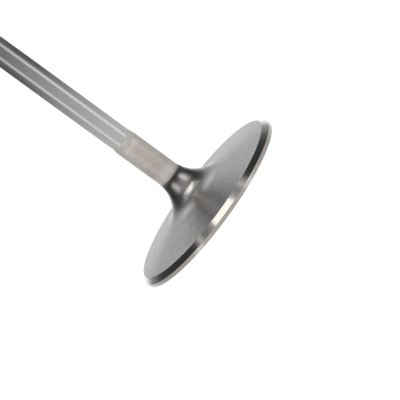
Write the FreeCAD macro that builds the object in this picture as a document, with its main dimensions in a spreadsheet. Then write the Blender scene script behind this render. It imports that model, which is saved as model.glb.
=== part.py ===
import FreeCAD, Part
import Sketcher
import math
import os
from enum import IntEnum

# Intake valve of a piston engine, turned and ground from one piece of steel.
# It stands on its flat combustion face: the origin is the centre of that face and +Z runs
# up the stem to the tip. All lengths are in millimetres and all angles in degrees.

NODE = "engine_valve"
FULL_TURN = 360

# The driving sizes: alias, value, what it is.
SIZES = [
    ("head_diameter", 56.0, "outside of the margin"),
    ("margin_height", 1.2, "cylindrical edge between the combustion face and the seat"),
    ("seat_width", 1.4, "ground seat, measured along the radius"),
    ("seat_angle", 45.0, "seat, from the plane of the head"),
    ("edge_roll_radius", 6.0, "rounding of the back face where it meets the seat"),
    ("edge_roll_width", 0.8, "that rounding, measured along the radius"),
    ("back_angle", 10.0, "back face, from the plane of the head"),
    ("neck_fillet_radius", 10.0, "sweep from the back face into the neck"),
    ("neck_diameter", 7.4, "neck under the guide"),
    ("neck_length", 13.3, "straight neck above the sweep"),
    ("shoulder_length", 2.0, "taper from the neck down to the ground stem"),
    ("stem_diameter", 6.97, "ground stem that runs in the guide"),
    ("overall_length", 130.0, "combustion face to tip"),
    ("tip_land_length", 6.0, "tip down to the keeper groove"),
    ("tip_chamfer", 0.6, "chamfer round the tip"),
    ("groove_width", 1.6, "keeper groove along the stem"),
    ("groove_depth", 0.5, "keeper groove below the ground stem"),
    ("groove_root_radius", 0.25, "corners at the bottom of the keeper groove"),
    ("rim_radius", 0.15, "edge break between the margin and the combustion face"),
]


def make_sheet(doc):
    """The spreadsheet that holds every driving size under its alias."""
    sheet = doc.addObject("Spreadsheet::Sheet", "sizes")
    for row, (alias, value, meaning) in enumerate(SIZES, start=1):
        sheet.set(f"A{row}", alias)
        sheet.set(f"B{row}", str(value))
        sheet.set(f"C{row}", meaning)
        sheet.setAlias(f"B{row}", alias)
    doc.recompute()
    return sheet


def plane(body, role):
    """One of the body's own origin planes."""
    return next(f for f in body.Origin.OriginFeatures if f.Role == role)


def point(across, up):
    """A point of a half section: distance from the axis, height above the combustion face."""
    return FreeCAD.Vector(across, up, 0)


def new_sketch(body, name):
    """A half section in the body's XZ plane, whose vertical axis is the valve's axis."""
    sketch = body.newObject("Sketcher::SketchObject", name)
    sketch.AttachmentSupport = (plane(body, "XZ_Plane"), [""])
    sketch.MapMode = "FlatFace"
    return sketch


def drive(sketch, name, expression, *constraint):
    """Adds a named dimension to the sketch and binds it to the sheet."""
    index = sketch.addConstraint(Sketcher.Constraint(*constraint))
    sketch.renameConstraint(index, name)
    sketch.setExpression(f"Constraints.{name}", expression)


class End(IntEnum):
    """Which end of a sketch's line or arc a constraint takes."""

    START = 1
    END = 2


class OwnLine(IntEnum):
    """The lines that every sketch has. Its origin is the start of the horizontal axis."""

    HORIZONTAL_AXIS = -1
    VERTICAL_AXIS = -2


START = End.START
END = End.END
ORIGIN = (OwnLine.HORIZONTAL_AXIS, START)


def draw_half_section(sketch, sheet):
    """Outline from the combustion face round the head, up the neck and stem to the tip."""
    head_r = sheet.head_diameter / 2
    neck_r = sheet.neck_diameter / 2
    stem_r = sheet.stem_diameter / 2
    seat = math.radians(sheet.seat_angle)
    back = math.radians(sheet.back_angle)

    # Corners of the head, worked out so that the sketch starts close to its solution.
    rim = point(head_r, 0)
    seat_outer = point(head_r, sheet.margin_height)
    seat_inner = point(
        head_r - sheet.seat_width,
        sheet.margin_height + sheet.seat_width * math.tan(seat),
    )

    # Rounding of the back face: it leaves the seat edge and runs tangent into the cone.
    roll_end_angle = math.pi / 2 - back
    roll_start_angle = math.acos(
        sheet.edge_roll_width / sheet.edge_roll_radius + math.cos(roll_end_angle)
    )
    roll_centre = seat_inner - FreeCAD.Vector(
        sheet.edge_roll_radius * math.cos(roll_start_angle),
        sheet.edge_roll_radius * math.sin(roll_start_angle),
        0,
    )
    roll_end = roll_centre + FreeCAD.Vector(
        sheet.edge_roll_radius * math.cos(roll_end_angle),
        sheet.edge_roll_radius * math.sin(roll_end_angle),
        0,
    )

    # Sweep: an arc tangent to the back cone and to the straight neck.
    fillet_r = sheet.neck_fillet_radius
    fillet_low_r = neck_r + fillet_r * (1 - math.sin(back))
    fillet_low = point(
        fillet_low_r, roll_end.y + (roll_end.x - fillet_low_r) * math.tan(back)
    )
    fillet_centre = point(neck_r + fillet_r, fillet_low.y + fillet_r * math.cos(back))
    neck_low = point(neck_r, fillet_centre.y)
    neck_high = point(neck_r, neck_low.y + sheet.neck_length)
    stem_low = point(stem_r, neck_high.y + sheet.shoulder_length)
    stem_high = point(stem_r, sheet.overall_length)
    tip_centre = point(0, sheet.overall_length)
    upwards = FreeCAD.Vector(0, 0, 1)

    def line(a, b):
        return sketch.addGeometry(Part.LineSegment(a, b))

    def arc(centre, radius, low_angle, high_angle):
        circle = Part.Circle(centre, upwards, radius)
        return sketch.addGeometry(Part.ArcOfCircle(circle, low_angle, high_angle))

    face = line(point(0, 0), rim)
    margin = line(rim, seat_outer)
    seat_face = line(seat_outer, seat_inner)
    edge_roll = arc(
        roll_centre, sheet.edge_roll_radius, roll_start_angle, roll_end_angle
    )
    back_face = line(roll_end, fillet_low)
    sweep = arc(fillet_centre, fillet_r, math.pi, 3 * math.pi / 2 - back)
    neck = line(neck_low, neck_high)
    shoulder = line(neck_high, stem_low)
    stem = line(stem_low, stem_high)
    tip = line(stem_high, tip_centre)
    axis = line(tip_centre, point(0, 0))

    def join(kind, first, first_end, second, second_end):
        sketch.addConstraint(
            Sketcher.Constraint(kind, first, first_end, second, second_end)
        )

    join("Coincident", face, START, *ORIGIN)
    join("Coincident", face, END, margin, START)
    join("Coincident", margin, END, seat_face, START)
    join("Coincident", seat_face, END, edge_roll, START)
    join("Tangent", edge_roll, END, back_face, START)
    join("Tangent", back_face, END, sweep, END)
    join("Tangent", sweep, START, neck, START)
    join("Coincident", neck, END, shoulder, START)
    join("Coincident", shoulder, END, stem, START)
    join("Coincident", stem, END, tip, START)
    join("Coincident", tip, END, axis, START)
    join("Coincident", axis, END, face, START)
    for level in (face, tip):
        sketch.addConstraint(Sketcher.Constraint("Horizontal", level))
    for upright in (margin, neck, stem):
        sketch.addConstraint(Sketcher.Constraint("Vertical", upright))
    sketch.addConstraint(
        Sketcher.Constraint("PointOnObject", tip, END, OwnLine.VERTICAL_AXIS)
    )

    drive(sketch, "head_radius", "sizes.head_diameter / 2",
          "DistanceX", *ORIGIN, face, END, head_r)
    drive(sketch, "margin_height", "sizes.margin_height",
          "DistanceY", margin, START, margin, END, sheet.margin_height)
    drive(sketch, "seat_width", "sizes.seat_width",
          "DistanceX", seat_face, END, seat_face, START, sheet.seat_width)
    drive(sketch, "seat_slope", "180 - sizes.seat_angle",
          "Angle", seat_face, math.pi - seat)
    drive(sketch, "edge_roll_radius", "sizes.edge_roll_radius",
          "Radius", edge_roll, sheet.edge_roll_radius)
    drive(sketch, "edge_roll_width", "sizes.edge_roll_width",
          "DistanceX", edge_roll, END, edge_roll, START, sheet.edge_roll_width)
    drive(sketch, "back_slope", "180 - sizes.back_angle",
          "Angle", back_face, math.pi - back)
    drive(sketch, "neck_fillet_radius", "sizes.neck_fillet_radius",
          "Radius", sweep, fillet_r)
    drive(sketch, "neck_radius", "sizes.neck_diameter / 2",
          "DistanceX", *ORIGIN, neck, START, neck_r)
    drive(sketch, "neck_length", "sizes.neck_length",
          "DistanceY", neck, START, neck, END, sheet.neck_length)
    drive(sketch, "shoulder_length", "sizes.shoulder_length",
          "DistanceY", shoulder, START, shoulder, END, sheet.shoulder_length)
    drive(sketch, "stem_radius", "sizes.stem_diameter / 2",
          "DistanceX", *ORIGIN, stem, START, stem_r)
    drive(sketch, "overall_length", "sizes.overall_length",
          "DistanceY", *ORIGIN, tip, END, sheet.overall_length)


def draw_keeper_groove(sketch, sheet):
    """Cutter section of the keeper groove: square walls with rounded root corners."""
    stem_r = sheet.stem_diameter / 2
    root_r = stem_r - sheet.groove_depth
    high = sheet.overall_length - sheet.tip_land_length
    low = high - sheet.groove_width
    round_r = sheet.groove_root_radius
    # The cutter's outer edge stays clear of the stem, by as much as the groove is deep.
    outer_r = stem_r + sheet.groove_depth
    upwards = FreeCAD.Vector(0, 0, 1)

    def line(a, b):
        return sketch.addGeometry(Part.LineSegment(a, b))

    def corner(centre, low_angle, high_angle):
        circle = Part.Circle(centre, upwards, round_r)
        return sketch.addGeometry(Part.ArcOfCircle(circle, low_angle, high_angle))

    high_wall = line(point(outer_r, high), point(root_r + round_r, high))
    high_corner = corner(
        point(root_r + round_r, high - round_r), math.pi / 2, math.pi
    )
    root = line(point(root_r, high - round_r), point(root_r, low + round_r))
    low_corner = corner(
        point(root_r + round_r, low + round_r), math.pi, 3 * math.pi / 2
    )
    low_wall = line(point(root_r + round_r, low), point(outer_r, low))
    outside = line(point(outer_r, low), point(outer_r, high))

    def join(kind, first, first_end, second, second_end):
        sketch.addConstraint(
            Sketcher.Constraint(kind, first, first_end, second, second_end)
        )

    join("Tangent", high_wall, END, high_corner, START)
    join("Tangent", high_corner, END, root, START)
    join("Tangent", root, END, low_corner, START)
    join("Tangent", low_corner, END, low_wall, START)
    join("Coincident", low_wall, END, outside, START)
    join("Coincident", outside, END, high_wall, START)
    sketch.addConstraint(Sketcher.Constraint("Horizontal", high_wall))
    sketch.addConstraint(Sketcher.Constraint("Horizontal", low_wall))
    sketch.addConstraint(Sketcher.Constraint("Vertical", outside))
    sketch.addConstraint(Sketcher.Constraint("Equal", high_corner, low_corner))

    drive(sketch, "root_corner", "sizes.groove_root_radius",
          "Radius", high_corner, round_r)
    drive(sketch, "root_radius", "sizes.stem_diameter / 2 - sizes.groove_depth",
          "DistanceX", *ORIGIN, root, START, root_r)
    drive(sketch, "outer_radius", "sizes.stem_diameter / 2 + sizes.groove_depth",
          "DistanceX", *ORIGIN, outside, START, outer_r)
    drive(sketch, "width", "sizes.groove_width",
          "DistanceY", outside, START, outside, END, sheet.groove_width)
    drive(sketch, "top_height", "sizes.overall_length - sizes.tip_land_length",
          "DistanceY", *ORIGIN, outside, END, high)


def circle_edge(shape, radius, height):
    """Name of the round edge of that radius, about the axis, at that height."""
    near = 1e-4
    for number, edge in enumerate(shape.Edges, start=1):
        curve = edge.Curve
        if not isinstance(curve, Part.Circle):
            continue
        on_axis = math.hypot(curve.Center.x, curve.Center.y) < near
        at_height = abs(curve.Center.z - height) < near
        if on_axis and at_height and abs(curve.Radius - radius) < near:
            return f"Edge{number}"
    raise RuntimeError(f"no round edge of radius {radius} at height {height}")


def make_valve(doc, sheet):
    """The valve: turned half section, keeper groove, tip chamfer and rim edge break."""
    body = doc.addObject("PartDesign::Body", "valve_body")
    body.Label = NODE

    section = new_sketch(body, "half_section")
    draw_half_section(section, sheet)
    turned = body.newObject("PartDesign::Revolution", "turned_blank")
    turned.Profile = section
    turned.ReferenceAxis = (section, ["V_Axis"])
    turned.Angle = FULL_TURN
    doc.recompute()

    cutter = new_sketch(body, "keeper_groove_section")
    draw_keeper_groove(cutter, sheet)
    groove = body.newObject("PartDesign::Groove", "keeper_groove")
    groove.Profile = cutter
    groove.ReferenceAxis = (cutter, ["V_Axis"])
    groove.Angle = FULL_TURN
    doc.recompute()
    if groove.Shape.Volume >= turned.Shape.Volume:
        raise RuntimeError("the keeper groove cut nothing")

    tip_edge = circle_edge(
        groove.Shape, sheet.stem_diameter / 2, sheet.overall_length
    )
    chamfer = body.newObject("PartDesign::Chamfer", "tip_chamfer")
    chamfer.Base = (groove, [tip_edge])
    chamfer.setExpression("Size", "sizes.tip_chamfer")
    doc.recompute()

    rim_edge = circle_edge(chamfer.Shape, sheet.head_diameter / 2, 0)
    rim = body.newObject("PartDesign::Fillet", "rim_edge_break")
    rim.Base = (chamfer, [rim_edge])
    rim.setExpression("Radius", "sizes.rim_radius")
    doc.recompute()
    return body


def check(doc, bodies):
    """Stops if an object failed or a piece is not one valid solid."""
    for obj in doc.Objects:
        if {"Invalid", "Error"} & set(obj.State):
            raise RuntimeError(f"{obj.Label} did not compute: {obj.State}")
        if obj.isDerivedFrom("Sketcher::SketchObject") and obj.solve() != 0:
            raise RuntimeError(f"{obj.Label} has no solution")
    for body in bodies:
        shape = body.Shape
        if shape.isNull() or not shape.isValid() or len(shape.Solids) != 1:
            raise RuntimeError(f"{body.Label} is not one valid solid")


def main():
    doc = FreeCAD.newDocument("engine_valve_model")
    sheet = make_sheet(doc)
    valve = make_valve(doc, sheet)
    doc.recompute()
    check(doc, [valve])
    os.makedirs("parts", exist_ok=True)
    valve.Shape.exportStep(f"parts/{valve.Label}.step")
    print(f"{valve.Label}: {valve.Shape.Volume:.1f} mm3, {valve.Shape.BoundBox}")


main()
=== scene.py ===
"""A poppet intake valve, turned and ground from one piece of steel, standing on its head.

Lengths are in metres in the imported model's frame: the origin is the centre of the combustion
face and +Z runs up the stem. The photograph shows the valve tilted, so the camera is rolled.
"""

import logging
import math
from dataclasses import dataclass
from enum import Enum

import bpy
import numpy as np
from mathutils import Matrix, Vector


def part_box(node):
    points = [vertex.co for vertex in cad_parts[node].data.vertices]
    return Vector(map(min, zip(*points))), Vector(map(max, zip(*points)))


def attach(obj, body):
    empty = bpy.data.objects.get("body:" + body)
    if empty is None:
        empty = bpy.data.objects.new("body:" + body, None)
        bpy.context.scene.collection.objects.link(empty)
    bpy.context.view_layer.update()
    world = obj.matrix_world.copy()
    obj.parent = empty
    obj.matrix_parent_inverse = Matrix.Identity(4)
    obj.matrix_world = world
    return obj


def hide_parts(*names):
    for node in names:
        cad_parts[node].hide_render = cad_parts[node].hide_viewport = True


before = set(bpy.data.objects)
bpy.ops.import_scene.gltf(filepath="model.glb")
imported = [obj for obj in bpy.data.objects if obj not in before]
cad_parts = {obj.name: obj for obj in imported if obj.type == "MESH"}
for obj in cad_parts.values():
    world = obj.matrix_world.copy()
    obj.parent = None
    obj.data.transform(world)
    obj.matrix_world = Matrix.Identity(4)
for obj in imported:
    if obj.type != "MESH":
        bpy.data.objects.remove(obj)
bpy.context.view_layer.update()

log = logging.getLogger("engine_valve")

NODE = "engine_valve"
BODY = "root"
MM = 0.001
HALF_TURN = 180.0

Colour = tuple[float, float, float]
Rgba = tuple[float, float, float, float]
Edges = tuple[float, float, float, float]
Stops = tuple[tuple[float, Colour, float], ...]
Socket = bpy.types.NodeSocket
Number = Socket | float
Paint = Socket | Rgba

# Where a ramp's new stop is put until it gets its own place.
ANY_PLACE = 0.5

WARM: Colour = (1.0, 0.93, 0.86)
ROSY: Colour = (1.0, 0.945, 0.915)
CREAM: Colour = (1.0, 0.97, 0.91)
SOFT_WARM: Colour = (1.0, 0.985, 0.965)
PLAIN: Colour = (1.0, 1.0, 1.0)
BLUISH: Colour = (0.985, 0.995, 1.02)
COOL: Colour = (0.975, 0.99, 1.04)
COLD: Colour = (0.96, 0.98, 1.08)


def shade(tint: Colour, level: float) -> Rgba:
    """A tint at a level of light, as a node's colour value."""
    return (tint[0] * level, tint[1] * level, tint[2] * level, 1.0)


@dataclass
class Wiring:
    """Adds nodes to a node tree and joins them, so that a formula reads as one."""

    tree: bpy.types.NodeTree

    def add(self, kind: str, **settings: object) -> bpy.types.Node:
        """Adds a node.

        Args:
            kind: the node's type name.
            settings: its properties.

        Returns:
            The node.
        """
        node = self.tree.nodes.new(kind)
        for name, value in settings.items():
            setattr(node, name, value)
        return node

    def feed(self, socket: Socket, value: Number | Paint) -> None:
        """Joins a socket to another one, or sets it to a plain value.

        Args:
            socket: the input of a node.
            value: the output of another node, a number or a colour.
        """
        if isinstance(value, bpy.types.NodeSocket):
            self.tree.links.new(value, socket)
        else:
            socket.default_value = value

    def math(self, operation: str, first: Number, second: Number = 0.0) -> Socket:
        """One Math node.

        Args:
            operation: the node's operation.
            first: the first number.
            second: the second number, where the operation takes two.

        Returns:
            The result.
        """
        node = self.add("ShaderNodeMath", operation=operation)
        self.feed(node.inputs[0], first)
        self.feed(node.inputs[1], second)
        return node.outputs[0]

    def step(self, value: Socket, low: float, high: float) -> Socket:
        """A smooth rise from 0 to 1.

        Args:
            value: what the rise depends on.
            low: the value up to which it is 0.
            high: the value from which it is 1.

        Returns:
            The share.
        """
        node = self.add("ShaderNodeMapRange", interpolation_type="SMOOTHSTEP")
        self.feed(node.inputs["Value"], value)
        node.inputs["From Min"].default_value = low
        node.inputs["From Max"].default_value = high
        return node.outputs["Result"]

    def window(self, value: Socket, edges: Edges) -> Socket:
        """A smooth rise less a second one, so it goes up and comes back to 0.

        Args:
            value: what it depends on.
            edges: where the first rise starts and ends, and the same for the second. It stays
                under 1 where the second starts before the first ends.

        Returns:
            The share.
        """
        rise = self.step(value, edges[0], edges[1])
        fall = self.step(value, edges[2], edges[3])
        return self.math("SUBTRACT", rise, fall)

    def blend(self, share: Socket, first: Paint, second: Paint) -> Socket:
        """A mix of two colours.

        Args:
            share: 0 for the first colour and 1 for the second.
            first: the first colour.
            second: the second colour.

        Returns:
            The colour.
        """
        node = self.add("ShaderNodeMix", data_type="RGBA")
        self.feed(node.inputs["Factor"], share)
        self.feed(node.inputs["A"], first)
        self.feed(node.inputs["B"], second)
        return node.outputs["Result"]

    def spread(self, value: Socket, low: float, high: float) -> Socket:
        """Maps a value between 0 and 1 to one between two others.

        Args:
            value: what the result depends on.
            low: the result at 0.
            high: the result at 1.

        Returns:
            The result.
        """
        node = self.add("ShaderNodeMapRange")
        self.feed(node.inputs["Value"], value)
        node.inputs["To Min"].default_value = low
        node.inputs["To Max"].default_value = high
        return node.outputs["Result"]

    def scale(self, colour: Socket, share: Socket) -> Socket:
        """A colour multiplied by a number.

        Args:
            colour: the colour.
            share: the number.

        Returns:
            The colour that results.
        """
        node = self.add("ShaderNodeVectorMath", operation="SCALE")
        self.feed(node.inputs[0], colour)
        self.feed(node.inputs["Scale"], share)
        return node.outputs[0]

    def ramp(self, value: Socket, stops: Stops) -> Socket:
        """A colour that changes with a value.

        Args:
            value: what the colour depends on.
            stops: (value, tint, level of light), in rising order.

        Returns:
            The colour.
        """
        low, high = stops[0][0], stops[-1][0]
        place = self.add("ShaderNodeMapRange")
        self.feed(place.inputs["Value"], value)
        place.inputs["From Min"].default_value = low
        place.inputs["From Max"].default_value = high
        node = self.add("ShaderNodeValToRGB")
        self.feed(node.inputs["Fac"], place.outputs["Result"])
        elements = node.color_ramp.elements
        while len(elements) < len(stops):
            elements.new(ANY_PLACE)
        for element, (at, tint, level) in zip(elements, stops):
            element.position = (at - low) / (high - low)
            element.color = shade(tint, level)
        return node.outputs["Color"]


@dataclass(frozen=True)
class PhotoCamera:
    """The photograph's eye, fitted to the head's rims and the stem's edges.

    Pixels are those of the photograph's 400 x 400 frame, and angles are in degrees.
    """

    frame_px: float = 400.0
    head_centre_px: tuple[float, float] = (209.2, 204.0)
    head_radius_px: float = 101.2
    eye_distance_px: float = 2000.0
    eye_elevation: float = 12.17
    stem_slope: float = 36.07
    sensor_mm: float = 36.0
    near_clip: float = 10.0 * MM

    def build(self, head_radius: float) -> bpy.types.Object:
        """Makes the camera.

        The eye looks along +Y and down by its elevation, and the picture is turned until the
        upright stem points up and to the left at stem_slope from its rows. The distances come
        from the head's radius, which is known in pixels and in metres.

        Args:
            head_radius: outside radius of the margin.

        Returns:
            The camera object.
        """
        rise = math.radians(self.eye_elevation)
        slope = math.radians(self.stem_slope)
        sideways = Vector((1.0, 0.0, 0.0))
        stem_up = Vector((0.0, math.sin(rise), math.cos(rise)))
        backward = Vector((0.0, -math.cos(rise), math.sin(rise)))
        right = sideways * math.sin(slope) - stem_up * math.cos(slope)
        up = sideways * math.cos(slope) + stem_up * math.sin(slope)

        pixel = head_radius / self.head_radius_px
        half = self.frame_px / 2
        head_right = (self.head_centre_px[0] - half) * pixel
        head_down = (self.head_centre_px[1] - half) * pixel
        eye = backward * self.eye_distance_px * pixel - right * head_right + up * head_down

        data = bpy.data.cameras.new("photo_camera")
        data.sensor_width = self.sensor_mm
        data.lens = self.sensor_mm * self.eye_distance_px / self.frame_px
        data.clip_start = self.near_clip
        camera = bpy.data.objects.new("photo_camera", data)
        bpy.context.collection.objects.link(camera)
        turn = Matrix((right, up, backward)).transposed()
        camera.matrix_world = Matrix.Translation(eye) @ turn.to_4x4()
        bpy.context.scene.camera = camera
        return camera


class Side(Enum):
    """Which side of the valve a panel is on, as the sum that turns it to positive numbers."""

    PLUS_X = ("MULTIPLY", 1.0)
    MINUS_X = ("MULTIPLY", -1.0)
    BOTH = ("ABSOLUTE", 0.0)


@dataclass(frozen=True)
class Panel:
    """A soft patch of light or shade in the room.

    Two coordinates of a ray say where it lies: azimuth and elevation in degrees on the walls,
    or the direction's X and Y parts overhead.

    Attributes:
        side: which side of the valve it is on.
        across: the edges of its window along the first coordinate.
        along: the edges of its window along the second coordinate.
        tint: its tint.
        level: its level of light.
    """

    side: Side
    across: Edges
    along: Edges
    tint: Colour
    level: float

    def paint(
        self, wiring: Wiring, first: Socket, second: Socket, room: Socket, share: Number = 1.0
    ) -> Socket:
        """Blends the panel over the room's colour, by its two windows multiplied.

        Args:
            wiring: the world's nodes.
            first: the ray's first coordinate.
            second: the ray's second coordinate.
            room: the room's colour so far.
            share: how far the panel shows in this part of the room, from 0 to 1.

        Returns:
            The colour.
        """
        operation, factor = self.side.value
        turned = wiring.math(operation, first, factor)
        patch = wiring.math(
            "MULTIPLY", wiring.window(turned, self.across), wiring.window(second, self.along)
        )
        patch = wiring.math("MULTIPLY", patch, share)
        return wiring.blend(patch, room, shade(self.tint, self.level))


@dataclass(frozen=True)
class Studio:
    """White table and soft room, with the panels that the polished steel mirrors.

    The room is painted on the world by direction. Azimuth is 0 towards the eye and positive
    towards +X, and elevation is 0 at the level of the table.

    Most of the room's levels and edges are rounded output of separate programs, which fitted
    them to the photograph's brightness along the valve. They aren't measures of a real room.
    """

    floor_half: float = 2.5
    floor_drop: float = 0.02 * MM
    floor_glow: float = 0.78
    floor_paint: float = 0.8

    # Colour of the room against elevation, seen towards the eye, to the sides and behind.
    front: Stops = (
        (-60.0, WARM, 1.55),
        (-24.0, WARM, 2.00),
        (-13.0, WARM, 0.25),
        (-9.3, SOFT_WARM, 1.40),
        (-8.0, PLAIN, 0.74),
        (-7.0, COOL, 0.82),
        (-6.0, COOL, 0.51),
        (-4.5, COLD, 0.23),
        (-2.0, PLAIN, 0.02),
        (8.0, PLAIN, 0.03),
        (20.0, PLAIN, 0.08),
        (32.0, PLAIN, 0.22),
        (56.0, PLAIN, 0.31),
    )
    sides: Stops = (
        (-60.0, WARM, 1.53),
        (-24.0, WARM, 1.50),
        (-13.0, WARM, 0.40),
        (-9.3, SOFT_WARM, 1.21),
        (-8.0, PLAIN, 0.75),
        (-7.0, COOL, 0.56),
        (-6.0, COOL, 0.01),
        (-4.5, COLD, 0.35),
        (-2.0, PLAIN, 0.09),
        (20.0, PLAIN, 0.036),
        (62.0, PLAIN, 0.055),
    )
    behind: Stops = (
        (-60.0, SOFT_WARM, 1.55),
        (-20.0, PLAIN, 1.06),
        (-12.0, COOL, 1.22),
        (-4.0, BLUISH, 2.03),
        (3.0, BLUISH, 1.20),
        (11.0, BLUISH, 1.12),
        (19.0, BLUISH, 0.91),
        (26.0, PLAIN, 0.32),
        (40.0, PLAIN, 0.13),
        (60.0, PLAIN, 0.25),
    )
    front_edge: tuple[float, float] = (29.0, 94.0)
    # Azimuths between which the sides turn into the back, as shares of half a turn, by elevation.
    behind_start: Stops = (
        (-13.0, PLAIN, 110 / HALF_TURN),
        (-9.0, PLAIN, 163 / HALF_TURN),
        (-5.5, PLAIN, 133 / HALF_TURN),
        (3.0, PLAIN, 130 / HALF_TURN),
        (14.0, PLAIN, 129.5 / HALF_TURN),
        (28.0, PLAIN, 114 / HALF_TURN),
        (45.0, PLAIN, 108 / HALF_TURN),
    )
    behind_end: Stops = (
        (-13.0, PLAIN, 146 / HALF_TURN),
        (-9.0, PLAIN, 218 / HALF_TURN),
        (-5.5, PLAIN, 196 / HALF_TURN),
        (3.0, PLAIN, 155 / HALF_TURN),
        (14.0, PLAIN, 178 / HALF_TURN),
        (28.0, PLAIN, 181 / HALF_TURN),
        (45.0, PLAIN, 155 / HALF_TURN),
    )
    # How far the back reaches further round on the +X side, in degrees.
    behind_lean: float = 1.2
    # A light on either side at the back, and the dark gap between them.
    rear_light_plus: Panel = Panel(
        side=Side.PLUS_X,
        across=(128.4, 174.2, 172.2, 183.0),
        along=(10.8, 56.2, 54.2, 65.8),
        tint=PLAIN,
        level=2.10,
    )
    rear_light_minus: Panel = Panel(
        side=Side.MINUS_X,
        across=(144.9, 159.3, 184.1, 185.1),
        along=(16.7, 48.9, 61.6, 64.4),
        tint=PLAIN,
        level=1.78,
    )
    rear_gap: Panel = Panel(
        side=Side.BOTH,
        across=(167.0, 174.8, 181.0, 182.0),
        along=(29.2, 30.3, 90.0, 91.0),
        tint=PLAIN,
        level=0.0,
    )
    # Soft panels before the valve.
    soft_front_plus: Panel = Panel(
        side=Side.PLUS_X,
        across=(21.1, 52.7, 35.9, 93.0),
        along=(9.9, 23.4, 35.5, 53.6),
        tint=SOFT_WARM,
        level=1.33,
    )
    soft_front_minus: Panel = Panel(
        side=Side.MINUS_X,
        across=(17.2, 47.1, 39.1, 80.5),
        along=(10.5, 24.6, 39.5, 52.9),
        tint=SOFT_WARM,
        level=0.96,
    )
    # The two tubes that the stem and the margin mirror, and the glow on the table under each.
    tube_plus: Panel = Panel(
        side=Side.PLUS_X,
        across=(32.7, 54.7, 47.9, 80.4),
        along=(-11.6, -10.6, -7.9, 0.7),
        tint=PLAIN,
        level=1.70,
    )
    tube_minus: Panel = Panel(
        side=Side.MINUS_X,
        across=(28.0, 55.5, 42.2, 68.8),
        along=(-11.6, -10.6, -7.9, 0.7),
        tint=PLAIN,
        level=1.77,
    )
    table_glow_plus: Panel = Panel(
        side=Side.PLUS_X,
        across=(34.7, 42.7, 51.2, 56.4),
        along=(-61.0, -60.0, -11.6, -10.6),
        tint=PLAIN,
        level=1.00,
    )
    table_glow_minus: Panel = Panel(
        side=Side.MINUS_X,
        across=(37.2, 50.4, 45.9, 57.4),
        along=(-61.0, -60.0, -11.6, -10.6),
        tint=PLAIN,
        level=1.24,
    )
    # Overhead, by the X and Y parts of the direction: a dim ceiling, a slot of light along each
    # side, and one soft box over the front edge with a wing on either side.
    ceiling_edge: tuple[float, float] = (59.5, 61.5)
    ceiling_x: Edges = (-0.415, -0.403, 0.467, 0.523)
    ceiling: Stops = (
        (-0.5, PLAIN, 0.33),
        (-0.3, PLAIN, 0.0),
        (-0.1, PLAIN, 0.32),
        (0.08, PLAIN, 0.28),
        (0.2, PLAIN, 0.19),
        (0.45, PLAIN, 0.01),
    )
    side_slots: Panel = Panel(
        side=Side.BOTH,
        across=(0.340, 0.400, 0.380, 0.474),
        along=(-0.392, -0.284, 0.132, 0.294),
        tint=ROSY,
        level=0.77,
    )
    wing_plus: Panel = Panel(
        side=Side.PLUS_X,
        across=(0.154, 0.180, 0.403, 0.505),
        along=(-0.389, -0.246, -0.213, -0.201),
        tint=SOFT_WARM,
        level=2.35,
    )
    wing_minus: Panel = Panel(
        side=Side.MINUS_X,
        across=(0.107, 0.168, 0.294, 0.307),
        along=(-0.354, -0.342, -0.234, -0.209),
        tint=SOFT_WARM,
        level=1.50,
    )
    # The box spans both sides, so its edges are measured along +X.
    front_box: Panel = Panel(
        side=Side.PLUS_X,
        across=(-0.172, -0.142, 0.175, 0.224),
        along=(-0.409, -0.397, -0.124, -0.112),
        tint=CREAM,
        level=1.73,
    )

    @property
    def wall_panels(self) -> tuple[Panel, ...]:
        """The panels on the walls. Each is painted over those before it."""
        return (
            self.rear_light_plus,
            self.rear_light_minus,
            self.rear_gap,
            self.soft_front_plus,
            self.soft_front_minus,
            self.tube_plus,
            self.tube_minus,
            self.table_glow_plus,
            self.table_glow_minus,
        )

    @property
    def overhead_panels(self) -> tuple[Panel, ...]:
        """The panels overhead. Each is painted over those before it."""
        return (self.side_slots, self.wing_plus, self.wing_minus, self.front_box)

    def by_elevation(self, wiring: Wiring, elevation: Socket, stops: Stops) -> Socket:
        """An azimuth in degrees that changes with elevation."""
        return wiring.math("MULTIPLY", wiring.ramp(elevation, stops), HALF_TURN)

    def walls(self, wiring: Wiring, azimuth: Socket, elevation: Socket) -> Socket:
        """Paints the table and walls: front, sides and back, and the panels on them.

        Args:
            wiring: the world's nodes.
            azimuth: the ray's azimuth in degrees.
            elevation: the ray's elevation in degrees.

        Returns:
            The colour.
        """
        leant = wiring.math("ADD", azimuth, self.behind_lean)
        far = wiring.add("ShaderNodeMapRange", interpolation_type="SMOOTHSTEP")
        wiring.feed(far.inputs["Value"], wiring.math("ABSOLUTE", leant))
        wiring.feed(far.inputs["From Min"], self.by_elevation(wiring, elevation, self.behind_start))
        wiring.feed(far.inputs["From Max"], self.by_elevation(wiring, elevation, self.behind_end))
        turn = wiring.math("ABSOLUTE", azimuth)
        front = wiring.ramp(elevation, self.front)
        sides = wiring.ramp(elevation, self.sides)
        behind = wiring.ramp(elevation, self.behind)
        colour = wiring.blend(wiring.step(turn, *self.front_edge), front, sides)
        colour = wiring.blend(far.outputs["Result"], colour, behind)
        for panel in self.wall_panels:
            colour = panel.paint(wiring, azimuth, elevation, colour)
        return colour

    def overhead(self, wiring: Wiring, x: Socket, y: Socket, above: Socket, room: Socket) -> Socket:
        """Paints the ceiling and the lights on it over the room's colour.

        Args:
            wiring: the world's nodes.
            x: the X part of the ray's direction.
            y: the Y part of the ray's direction.
            above: 1 overhead and 0 on the walls.
            room: the colour of the walls.

        Returns:
            The colour.
        """
        upward = wiring.math("MULTIPLY", above, wiring.window(x, self.ceiling_x))
        colour = wiring.blend(upward, room, wiring.ramp(y, self.ceiling))
        for panel in self.overhead_panels:
            colour = panel.paint(wiring, x, y, colour, above)
        return colour

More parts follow.
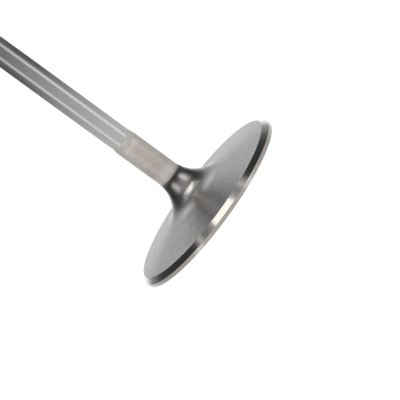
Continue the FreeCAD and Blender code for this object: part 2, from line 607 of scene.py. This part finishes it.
    def room(self, wiring: Wiring) -> Socket:
        """Paints the room for the direction of a ray.

        Azimuth is the arc tangent of X over -Y and elevation the arc sine of Z, in degrees.

        Args:
            wiring: the world's nodes.

        Returns:
            The colour.
        """
        direction = wiring.add("ShaderNodeTexCoord").outputs["Generated"]
        parts = wiring.add("ShaderNodeSeparateXYZ")
        wiring.feed(parts.inputs[0], direction)
        x, y, z = parts.outputs
        towards_eye = wiring.math("MULTIPLY", y, -1.0)
        azimuth = wiring.math("DEGREES", wiring.math("ARCTAN2", x, towards_eye))
        elevation = wiring.math("DEGREES", wiring.math("ARCSINE", z))
        above = wiring.step(elevation, *self.ceiling_edge)
        return self.overhead(wiring, x, y, above, self.walls(wiring, azimuth, elevation))

    def build_world(self) -> None:
        """Makes the world: white to the eye and the painted room to everything else."""
        world = bpy.data.worlds.new("studio")
        world.use_nodes = True
        world.node_tree.nodes.clear()
        wiring = Wiring(world.node_tree)
        room = wiring.add("ShaderNodeBackground")
        wiring.feed(room.inputs["Color"], self.room(wiring))
        white = wiring.add("ShaderNodeBackground")
        white.inputs["Color"].default_value = shade(PLAIN, 1.0)
        mix = wiring.add("ShaderNodeMixShader")
        wiring.feed(mix.inputs[0], wiring.add("ShaderNodeLightPath").outputs["Is Camera Ray"])
        wiring.feed(mix.inputs[1], room.outputs[0])
        wiring.feed(mix.inputs[2], white.outputs[0])
        output = wiring.add("ShaderNodeOutputWorld")
        wiring.feed(output.inputs["Surface"], mix.outputs[0])
        bpy.context.scene.world = world

    def floor_material(self) -> bpy.types.Material:
        """Pale paint that glows for the eye alone, so that it is white and keeps a shadow.

        Returns:
            The material.
        """
        material = bpy.data.materials.new("pale_floor")
        material.use_nodes = True
        material.node_tree.nodes.clear()
        wiring = Wiring(material.node_tree)
        paint = wiring.add("ShaderNodeBsdfDiffuse")
        paint.inputs["Color"].default_value = shade(PLAIN, self.floor_paint)
        glow = wiring.add("ShaderNodeEmission")
        seen = wiring.add("ShaderNodeLightPath").outputs["Is Camera Ray"]
        wiring.feed(glow.inputs["Strength"], wiring.math("MULTIPLY", seen, self.floor_glow))
        both = wiring.add("ShaderNodeAddShader")
        wiring.feed(both.inputs[0], paint.outputs[0])
        wiring.feed(both.inputs[1], glow.outputs[0])
        output = wiring.add("ShaderNodeOutputMaterial")
        wiring.feed(output.inputs["Surface"], both.outputs[0])
        return material

    def build_floor(self) -> bpy.types.Object:
        """Makes the floor, a hair under the combustion face. The metal mirrors the room instead.

        Returns:
            The floor.
        """
        half = self.floor_half
        mesh = bpy.data.meshes.new("floor")
        corners = [(-half, -half), (half, -half), (half, half), (-half, half)]
        mesh.from_pydata([(x, y, -self.floor_drop) for x, y in corners], [], [(0, 1, 2, 3)])
        mesh.materials.append(self.floor_material())
        floor = bpy.data.objects.new("floor", mesh)
        bpy.context.collection.objects.link(floor)
        floor.visible_glossy = False
        return floor

    def build(self) -> None:
        """Makes the world and the floor and sets the plain view transform."""
        bpy.context.scene.view_settings.view_transform = "Standard"
        self.build_world()
        self.build_floor()


class Lay(Enum):
    """Which way a tool ran, as the turn of the highlight from the direction round the axis."""

    ROUND = 0.25
    UP_AND_DOWN = 0.0


@dataclass(frozen=True)
class PolishAndSheen:
    """The stretch of a surface that the wheel reached. It gets duller at both ends, and the steel can
    be painted lighter there, a painted sheen.

    Attributes:
        starts: height where the first traces of polish are.
        full_from: height from which it is full.
        full_to: height up to which it is full.
        ends: height where it is gone.
        dull: roughness that is added where there is no polish.
        painted_sheen: how much lighter the steel is painted where the window isn't full, as a share.
            This painted sheen stands in for reflected light.
    """

    starts: float
    full_from: float
    full_to: float
    ends: float
    dull: float = 0.0
    painted_sheen: float = 0.0


# The noise of every finish: its detail and roughness, how far the tool marks' pattern moves on
# the way round, the noise between which a patch fades in, the least distance from the axis that
# a direction is divided by, and the even share of marks and grain in the roughness.
MARK_DETAIL = 4.0
MARK_ROUGHNESS = 0.6
MARK_DRIFT = 2.0
GRAIN_DETAIL = 2.0
PATCH_DETAIL = 3.0
PATCH_EDGES = (0.35, 0.65)
NEAR_AXIS = 0.001 * MM
EVEN_SHARE = 0.5


@dataclass(frozen=True)
class Finish:
    """A machined finish of the steel. Tool marks run round the axis.

    Attributes:
        name: the material's name.
        colour: the steel's colour.
        stain: its colour in the patches of handling and heat.
        roughness: mean roughness.
        uneven: how far marks and grain move the roughness, either way.
        lay: which way the tool ran.
        drawn_out: anisotropy. Light is drawn out across the lay.
        pitch: mean distance between the coarser tool marks.
        depth: height of the tool marks.
        contrast: how far the marks move the colour, as a share.
        patch: size of the patches.
        pattern: which pattern of patches it has. Any number gives another one.
        grain: size of the fine grain.
        speckle: how far the grain moves the colour, as a share.
        glancing: what is left of the light that steel mirrors at a glancing angle, as a share.
        polish: where the polish is, on a surface that it doesn't reach all over, and where a painted
            sheen lightens the steel.
    """

    name: str
    colour: Colour
    stain: Colour
    roughness: float
    uneven: float
    drawn_out: float
    pitch: float
    depth: float
    contrast: float
    patch: float = 3.5 * MM
    pattern: float = 0.0
    grain: float = 0.55 * MM
    speckle: float = 0.10
    glancing: float = 0.8
    lay: Lay = Lay.ROUND
    polish: PolishAndSheen | None = None

    def marks(self, wiring: Wiring, x: Socket, y: Socket, z: Socket) -> Socket:
        """Height of the tool marks, from 0 to 1.

        It is noise over the distance from the axis and the height, so it is constant round the
        axis, and its fourth coordinate moves with the direction from the axis, so the marks
        fade in and out on the way round.

        Args:
            wiring: the material's nodes.
            x: the place's X coordinate.
            y: its Y coordinate.
            z: its height.

        Returns:
            The height of the marks.
        """
        square = wiring.math("ADD", wiring.math("MULTIPLY", x, x), wiring.math("MULTIPLY", y, y))
        across = wiring.math("SQRT", square)
        ring = wiring.add("ShaderNodeCombineXYZ")
        wiring.feed(ring.inputs[0], wiring.math("DIVIDE", across, self.pitch))
        wiring.feed(ring.inputs[1], wiring.math("DIVIDE", z, self.pitch))
        safe = wiring.math("MAXIMUM", across, NEAR_AXIS)
        drift_y = wiring.math("DIVIDE", wiring.math("MULTIPLY", y, MARK_DRIFT), safe)
        wiring.feed(ring.inputs[2], drift_y)
        noise = wiring.add("ShaderNodeTexNoise", noise_dimensions="4D")
        wiring.feed(noise.inputs["Vector"], ring.outputs[0])
        drift_x = wiring.math("DIVIDE", wiring.math("MULTIPLY", x, MARK_DRIFT), safe)
        wiring.feed(noise.inputs["W"], drift_x)
        noise.inputs["Scale"].default_value = 1.0
        noise.inputs["Detail"].default_value = MARK_DETAIL
        noise.inputs["Roughness"].default_value = MARK_ROUGHNESS
        return noise.outputs[0]

    def blotches(self, wiring: Wiring, place: Socket, size: float, detail: float) -> Socket:
        """Plain noise from 0 to 1 over the object's own coordinates.

        Args:
            wiring: the material's nodes.
            place: the object's coordinates.
            size: mean size of a blotch.
            detail: how many finer layers the noise has.

        Returns:
            The noise.
        """
        noise = wiring.add("ShaderNodeTexNoise", noise_dimensions="4D")
        wiring.feed(noise.inputs["Vector"], place)
        noise.inputs["W"].default_value = self.pattern
        noise.inputs["Scale"].default_value = 1.0 / size
        noise.inputs["Detail"].default_value = detail
        return noise.outputs[0]

    def material(self) -> bpy.types.Material:
        """Makes the material: metal whose colour, roughness and bump follow marks and patches.

        Returns:
            The material.
        """
        material = bpy.data.materials.new(self.name)
        material.use_nodes = True
        wiring = Wiring(material.node_tree)
        metal = material.node_tree.nodes["Principled BSDF"]
        metal.inputs["Metallic"].default_value = 1.0
        metal.inputs["Specular Tint"].default_value = shade(PLAIN, self.glancing)
        metal.inputs["Anisotropic"].default_value = self.drawn_out
        metal.inputs["Anisotropic Rotation"].default_value = self.lay.value
        place = wiring.add("ShaderNodeTexCoord").outputs["Object"]
        parts = wiring.add("ShaderNodeSeparateXYZ")
        wiring.feed(parts.inputs[0], place)
        x, y, z = parts.outputs
        marks = self.marks(wiring, x, y, z)
        grain = self.blotches(wiring, place, self.grain, GRAIN_DETAIL)
        fine = wiring.math("MULTIPLY", wiring.math("ADD", marks, grain), EVEN_SHARE)
        patches = wiring.step(self.blotches(wiring, place, self.patch, PATCH_DETAIL), *PATCH_EDGES)

        low, high = self.roughness - self.uneven, self.roughness + self.uneven
        roughness = wiring.spread(fine, low, high)
        tone = wiring.math(
            "MULTIPLY",
            wiring.spread(marks, 1.0 - self.contrast, 1.0 + self.contrast),
            wiring.spread(grain, 1.0 - self.speckle, 1.0 + self.speckle),
        )
        # Where the window isn't full, the surface gets rougher and the steel is painted lighter by
        # painted_sheen: a painted sheen.
        if self.polish:
            span = self.polish
            full_stretch = wiring.window(z, (span.starts, span.full_from, span.full_to, span.ends))
            roughness = wiring.math("ADD", roughness, wiring.spread(full_stretch, span.dull, 0.0))
            tone = wiring.math("MULTIPLY", tone, wiring.spread(full_stretch, 1.0 + span.painted_sheen, 1.0))
        wiring.feed(metal.inputs["Roughness"], roughness)
        colour = wiring.blend(patches, shade(self.colour, 1.0), shade(self.stain, 1.0))
        wiring.feed(metal.inputs["Base Color"], wiring.scale(colour, tone))
        bump = wiring.add("ShaderNodeBump")
        bump.inputs["Distance"].default_value = self.depth
        wiring.feed(bump.inputs["Height"], marks)
        wiring.feed(metal.inputs["Normal"], bump.outputs[0])
        around = wiring.add("ShaderNodeTangent", direction_type="RADIAL", axis="Z")
        wiring.feed(metal.inputs["Tangent"], around.outputs[0])
        return material


class Zone(Enum):
    """The valve's faces, each with its own finish, from the combustion face to the tip."""

    COMBUSTION_FACE = Finish(
        name="turned_face",
        colour=(0.60, 0.59, 0.57),
        stain=(0.54, 0.52, 0.49),
        roughness=0.36,
        uneven=0.12,
        drawn_out=0.6,
        pitch=0.30 * MM,
        depth=0.0040 * MM,
        contrast=0.15,
        patch=7.0 * MM,
    )
    MARGIN = Finish(
        name="ground_margin",
        colour=(0.54, 0.53, 0.518),
        stain=(0.52, 0.508, 0.49),
        roughness=0.16,
        uneven=0.06,
        drawn_out=0.4,
        pitch=0.12 * MM,
        depth=0.0010 * MM,
        contrast=0.10,
    )
    SEAT = Finish(
        name="ground_seat",
        colour=(0.605, 0.585, 0.57),
        stain=(0.59, 0.57, 0.552),
        roughness=0.12,
        uneven=0.03,
        drawn_out=0.3,
        pitch=0.10 * MM,
        depth=0.0002 * MM,
        contrast=0.03,
    )
    BACK_FACE = Finish(
        name="turned_back_face",
        colour=(0.520, 0.510, 0.511),
        stain=(0.482, 0.470, 0.469),
        roughness=0.34,
        uneven=0.10,
        drawn_out=0.6,
        pitch=0.25 * MM,
        depth=0.0020 * MM,
        contrast=0.20,
        patch=1.6 * MM,
        grain=0.70 * MM,
        speckle=0.42,
    )
    SWEEP = Finish(
        name="polished_sweep",
        colour=(0.618, 0.602, 0.592),
        stain=(0.600, 0.580, 0.566),
        roughness=0.22,
        uneven=0.05,
        lay=Lay.UP_AND_DOWN,
        drawn_out=0.8,
        pitch=0.20 * MM,
        depth=0.0006 * MM,
        contrast=0.08,
        polish=PolishAndSheen(
            starts=6.2 * MM, full_from=7.6 * MM, full_to=12.8 * MM, ends=13.7 * MM, dull=0.14
        ),
    )
    NECK = Finish(
        name="satin_neck",
        colour=(0.75, 0.74, 0.725),
        stain=(0.655, 0.632, 0.60),
        roughness=0.47,
        uneven=0.08,
        drawn_out=0.0,
        pitch=0.20 * MM,
        depth=0.0014 * MM,
        contrast=0.07,
        patch=5.0 * MM,
        pattern=0.083,
        grain=0.60 * MM,
        speckle=0.20,
        # The neck's window adds no roughness. It paints the steel 23 % lighter below 14.2 mm and above
        # 29 mm, fading out towards 18 and 26 mm: painted sheen standing in for reflected light at both
        # ends of the neck.
        polish=PolishAndSheen(
            starts=14.2 * MM, full_from=18.0 * MM, full_to=26.0 * MM, ends=29.0 * MM, painted_sheen=0.23
        ),
    )
    RUN_OUT_AND_SHEEN = Finish(
        name="grinding_run_out_painted_sheen",
        # Its colour is painted far paler than the stem's: a painted sheen standing in for the light
        # that the shoulder catches. The rough grinding is the run-out's real finish.
        colour=(0.92, 0.91, 0.895),
        stain=(0.88, 0.865, 0.84),
        roughness=0.70,
        uneven=0.05,
        drawn_out=0.0,
        pitch=0.15 * MM,
        depth=0.0015 * MM,
        contrast=0.08,
        grain=0.60 * MM,
        speckle=0.20,
    )
    STEM = Finish(
        name="ground_stem",
        colour=(0.43, 0.43, 0.43),
        stain=(0.42, 0.42, 0.42),
        roughness=0.10,
        uneven=0.03,
        drawn_out=0.4,
        pitch=0.10 * MM,
        depth=0.0006 * MM,
        contrast=0.04,
        patch=6.0 * MM,
        grain=0.60 * MM,
        speckle=0.15,
    )
    KEEPER_GROOVE = Finish(
        name="turned_groove",
        colour=(0.56, 0.55, 0.53),
        stain=(0.50, 0.48, 0.45),
        roughness=0.32,
        uneven=0.08,
        drawn_out=0.3,
        pitch=0.10 * MM,
        depth=0.0020 * MM,
        contrast=0.12,
    )
    TIP = Finish(
        name="ground_tip",
        colour=(0.60, 0.60, 0.59),
        stain=(0.57, 0.56, 0.54),
        roughness=0.22,
        uneven=0.06,
        drawn_out=0.3,
        pitch=0.15 * MM,
        depth=0.0010 * MM,
        contrast=0.08,
    )


@dataclass(frozen=True)
class Corner:
    """A corner of the half section: distance from the axis, height and rounding radius."""

    across: float
    up: float
    rounding: float = 0.0


@dataclass(frozen=True)
class EngineValve:
    """The valve as one surface of revolution, with the sizes of its solid but for these.

    The solid has sharp edges at both sides of the seat, at the mouth of the keeper groove and at
    both sides of the tip's chamfer, and no rounding at the shoulder.
    """

    head_radius: float
    length: float
    margin: float = 1.2 * MM
    seat_width: float = 1.4 * MM
    seat_slope: float = math.radians(45.0)
    # 0.1 mm under the solid's, which leaves room for the break at the seat's edge.
    roll_radius: float = 5.9 * MM
    roll_width: float = 0.8 * MM
    roll_slope: float = math.radians(17.87)
    back_slope: float = math.radians(10.0)
    sweep_radius: float = 10.0 * MM
    neck_radius: float = 3.7 * MM
    neck_length: float = 13.3 * MM
    shoulder_length: float = 2.0 * MM
    stem_radius: float = 3.485 * MM
    tip_land: float = 6.0 * MM
    groove_width: float = 1.6 * MM
    groove_depth: float = 0.5 * MM
    groove_corner: float = 0.25 * MM
    tip_chamfer: float = 0.6 * MM
    rim_break: float = 0.15 * MM
    seat_edge_break: float = 0.03 * MM
    shoulder_break: float = 6.0 * MM
    edge_break: float = 0.06 * MM
    # The satin starts this far down the sweep and ends this far above the straight neck, and
    # the grinding wheel's run-out reaches this far past the shoulder.
    satin_above: float = math.radians(7.4)
    satin_past_neck: float = 0.9 * MM
    run_out: float = 0.15 * MM
    polish_below: float = math.radians(55.0)

    turn_steps: int = 512
    # An arc's steps turn no further than arc_step, unless that would make them shorter than
    # finest_step. A straight run's steps are no longer than longest_step.
    arc_step: float = math.radians(1.82)
    finest_step: float = 0.03 * MM
    fewest_steps: int = 3
    longest_step: float = 4.0 * MM
    # How near to a face's place a step still counts as lying in it.
    hair: float = 0.001 * MM

    @property
    def seat_top(self) -> float:
        """Height where the seat meets the rounded edge of the back face."""
        return self.margin + self.seat_width * math.tan(self.seat_slope)

    @property
    def cone_at_axis(self) -> float:
        """Height at which the back face's cone would meet the axis.

        The rounded edge is an arc whose chord has the mean of its two end slopes, and the cone
        starts at the arc's inner end.
        """
        mean_slope = (self.roll_slope + self.back_slope) / 2
        roll_end_up = self.seat_top + self.roll_width * math.tan(mean_slope)
        roll_end_across = self.head_radius - self.seat_width - self.roll_width
        return roll_end_up + roll_end_across * math.tan(self.back_slope)

    @property
    def sweep_centre_up(self) -> float:
        """Height of the sweep's centre, where the sweep turns into the straight neck."""
        cone = self.cone_at_axis - self.neck_radius * math.tan(self.back_slope)
        angle = math.pi / 2 - self.back_slope
        return cone + self.sweep_radius * math.tan(angle / 2)

    def corners(self) -> list[Corner]:
        """The half section's corners, from the centre of the face to the centre of the tip.

        Returns:
            The corners in order.
        """
        seat_inner = self.head_radius - self.seat_width
        cone = math.tan(self.back_slope)
        roll = math.tan(self.roll_slope)
        # Where the tangent of the rounded edge at the seat meets the cone.
        meet = (self.seat_top + seat_inner * roll - self.cone_at_axis) / (roll - cone)
        neck_top = self.sweep_centre_up + self.neck_length
        groove_top = self.length - self.tip_land
        groove_low = groove_top - self.groove_width
        root = self.stem_radius - self.groove_depth
        return [
            Corner(0.0, 0.0),
            Corner(self.head_radius, 0.0, self.rim_break),
            Corner(self.head_radius, self.margin, self.seat_edge_break),
            Corner(seat_inner, self.seat_top, self.seat_edge_break),
            Corner(meet, self.cone_at_axis - meet * cone, self.roll_radius),
            Corner(self.neck_radius, self.cone_at_axis - self.neck_radius * cone, self.sweep_radius),
            Corner(self.neck_radius, neck_top, self.shoulder_break),
            Corner(self.stem_radius, neck_top + self.shoulder_length, self.shoulder_break),
            Corner(self.stem_radius, neck_top + self.shoulder_length + self.run_out),
            Corner(self.stem_radius, groove_low, self.edge_break),
            Corner(root, groove_low, self.groove_corner),
            Corner(root, groove_top, self.groove_corner),
            Corner(self.stem_radius, groove_top, self.edge_break),
            Corner(self.stem_radius, self.length - self.tip_chamfer, self.edge_break),
            Corner(self.stem_radius - self.tip_chamfer, self.length, self.edge_break),
            Corner(0.0, self.length),
        ]

    def section(self) -> tuple[np.ndarray, np.ndarray]:
        """The half section as points and outward normals.

        Each corner becomes an arc that is tangent to both its sides: it starts rounding x tan
        (half the turn) before the corner, and its points are its centre plus the radius along
        the normal, which turns evenly from one side's to the other's. Straight runs are cut
        into steps no longer than longest_step.

        Returns:
            (points, normals), each an array of (across, up) rows.
        """
        corners = self.corners()
        places = np.array([(c.across, c.up) for c in corners])
        runs = np.diff(places, axis=0)
        headings = np.arctan2(runs[:, 1], runs[:, 0])
        points = [places[0]]
        tangents = [headings[0]]
        for number in range(1, len(corners) - 1):
            before, after = headings[number - 1], headings[number]
            turn = (after - before + math.pi) % (2 * math.pi) - math.pi
            radius = corners[number].rounding
            if radius == 0.0:
                self.run_to(points, tangents, places[number])
                continue
            back_off = radius * math.tan(abs(turn) / 2)
            start = places[number] - back_off * np.array([math.cos(before), math.sin(before)])
            self.run_to(points, tangents, start)
            side = math.copysign(radius, turn)
            centre = start + side * np.array([-math.sin(before), math.cos(before)])
            steps = math.ceil(abs(turn) * min(1 / self.arc_step, radius / self.finest_step))
            steps = max(self.fewest_steps, steps)
            angles = before + turn * np.arange(1, steps + 1) / steps
            arc = centre - side * np.stack([-np.sin(angles), np.cos(angles)], axis=1)
            points.extend(arc)
            tangents.extend(angles)
        self.run_to(points, tangents, places[-1])
        angles = np.array(tangents)
        return np.array(points), np.stack([np.sin(angles), -np.cos(angles)], axis=1)

    def run_to(self, points: list[np.ndarray], tangents: list[float], end: np.ndarray) -> None:
        """Adds a straight run from the last point, in even steps.

        Args:
            points: the section's points so far, which it adds to.
            tangents: the section's headings so far, which it adds to.
            end: the run's last point.
        """
        start = points[-1]
        steps = max(1, math.ceil(float(np.linalg.norm(end - start)) / self.longest_step))
        shares = np.arange(1, steps + 1)[:, None] / steps
        points.extend(start + shares * (end - start))
        tangents.extend([tangents[-1]] * steps)

    def zones(self, points: np.ndarray) -> np.ndarray:
        """The zone of each step of the section, as its number in the list of zones.

        Args:
            points: the section's points.

        Returns:
            One number for each step between two points, told by the step's middle.
        """
        across, up = (points[:-1] + points[1:]).T / 2
        polish = self.sweep_centre_up - self.sweep_radius * math.sin(self.polish_below)
        satin = self.sweep_centre_up - self.sweep_radius * math.sin(self.satin_above)
        neck_top = self.sweep_centre_up + self.neck_length
        stem_low = neck_top + self.shoulder_length + self.run_out
        in_groove = (up > self.length - self.tip_land - self.groove_width) & (
            up < self.length - self.tip_land
        )
        order = list(Zone)
        choices = [
            (up < self.hair, Zone.COMBUSTION_FACE),
            (up < self.margin, Zone.MARGIN),
            (up < self.seat_top, Zone.SEAT),
            (up < polish, Zone.BACK_FACE),
            (up < satin, Zone.SWEEP),
            (up < neck_top + self.satin_past_neck, Zone.NECK),
            (up < stem_low, Zone.RUN_OUT_AND_SHEEN),
            (in_groove & (across < self.stem_radius - self.hair), Zone.KEEPER_GROOVE),
            (up > self.length - self.tip_chamfer, Zone.TIP),
        ]
        tests = [test for test, _ in choices]
        numbers = [order.index(zone) for _, zone in choices]
        return np.select(tests, numbers, order.index(Zone.STEM))

    def mesh(self) -> bpy.types.Mesh:
        """Turns the section round the axis.

        A vertex is (across x cos turn, across x sin turn, up) for each inner point of the
        section and each step of the turn, with one vertex on the axis at each end. Every vertex
        gets the section's own normal, turned the same way, so the shading is exact.

        Returns:
            The closed mesh, with one material slot for each zone.
        """
        points, normals = self.section()
        ring_points, ring_normals = points[1:-1], normals[1:-1]
        rings, steps = len(ring_points), self.turn_steps
        turn = 2 * math.pi * np.arange(steps) / steps
        wheel = np.stack([np.cos(turn), np.sin(turn)], axis=1)

        def revolve(rows: np.ndarray) -> np.ndarray:
            """Turns rows of (across, up) into rings of (x, y, z).

            Args:
                rows: one row for each ring.

            Returns:
                One row for each vertex, ring by ring.
            """
            flat = rows[:, None, 0, None] * wheel[None]
            high = np.broadcast_to(rows[:, None, 1, None], (rings, steps, 1))
            return np.concatenate([flat, high], axis=2).reshape(-1, 3)

        ends = np.array([[0.0, 0.0, points[0, 1]], [0.0, 0.0, points[-1, 1]]])
        places = np.concatenate([revolve(ring_points), ends])
        facings = np.concatenate([revolve(ring_normals), [[0.0, 0.0, -1.0], [0.0, 0.0, 1.0]]])

        here = np.arange(steps)
        there = (here + 1) % steps
        low = np.arange(rings - 1)[:, None] * steps
        quads = np.stack([low + here, low + there, low + steps + there, low + steps + here], axis=2)
        bottom, top = rings * steps, rings * steps + 1
        last = (rings - 1) * steps
        under = np.stack([np.full(steps, bottom), there, here], axis=1)
        over = np.stack([last + here, last + there, np.full(steps, top)], axis=1)
        loops = np.concatenate([under.ravel(), quads.ravel(), over.ravel()])
        sizes = np.concatenate([np.full(steps, 3), np.full((rings - 1) * steps, 4), np.full(steps, 3)])
        starts = np.concatenate([[0], np.cumsum(sizes)[:-1]])

        mesh = bpy.data.meshes.new("valve")
        mesh.vertices.add(len(places))
        mesh.vertices.foreach_set("co", places.ravel())
        mesh.loops.add(len(loops))
        mesh.loops.foreach_set("vertex_index", loops)
        mesh.polygons.add(len(sizes))
        mesh.polygons.foreach_set("loop_start", starts)
        mesh.polygons.foreach_set("material_index", np.repeat(self.zones(points), steps))
        mesh.update(calc_edges=True)
        mesh.validate()
        mesh.shade_smooth()
        mesh.normals_split_custom_set_from_vertices(facings)
        for zone in Zone:
            mesh.materials.append(zone.value.material())
        return mesh

    def build(self) -> bpy.types.Object:
        """Makes the valve, which replaces its plain solid and rides on the root body.

        Returns:
            The valve.
        """
        valve = bpy.data.objects.new("valve", self.mesh())
        bpy.context.collection.objects.link(valve)
        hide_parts(NODE)
        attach(valve, BODY)
        log.info("valve: %d faces, %d finishes", len(valve.data.polygons), len(Zone))
        return valve


def main() -> None:
    """Builds the valve at the solid's size, the studio round it and the camera."""
    logging.basicConfig(level=logging.INFO)
    low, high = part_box(NODE)
    head_radius = (high[0] - low[0]) / 2
    EngineValve(head_radius=head_radius, length=high[2] - low[2]).build()
    Studio().build()
    PhotoCamera().build(head_radius)


if __name__ == "__main__":
    main()
